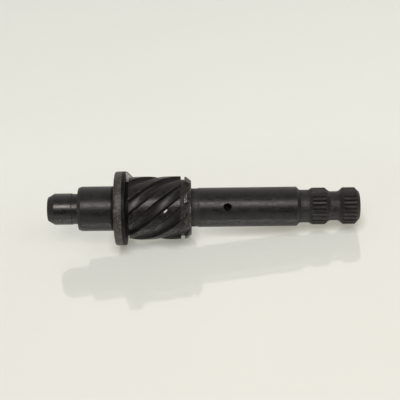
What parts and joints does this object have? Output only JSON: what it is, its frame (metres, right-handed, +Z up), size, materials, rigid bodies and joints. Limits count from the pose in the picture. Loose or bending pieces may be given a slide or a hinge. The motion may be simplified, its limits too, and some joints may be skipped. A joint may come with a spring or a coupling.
{
  "type": "kick start shaft",
  "caption": "One-piece kick start shaft with two ground journals, a flange, a left-hand helical spline, a spring hole and a serrated lever end.",
  "frame": {"origin": "middle of the bounding box, on the surface that the shaft lies on", "axes": "+X towards the lever spline end, +Z up; the shaft's own axis lies in the XZ plane and tips down 4.66 degrees towards +X, from the flange's rim to the lever spline's end; the spring hole faces -Y and up"},
  "size_m": [0.1188, 0.0282, 0.0283],
  "materials": {
    "blackened_steel": "black oxide over ground, turned and milled steel, satin, with bare worn edges"
  },
  "bodies": {
    "root": {"kick_start_shaft": "blackened_steel"}
  },
  "joints": []
}
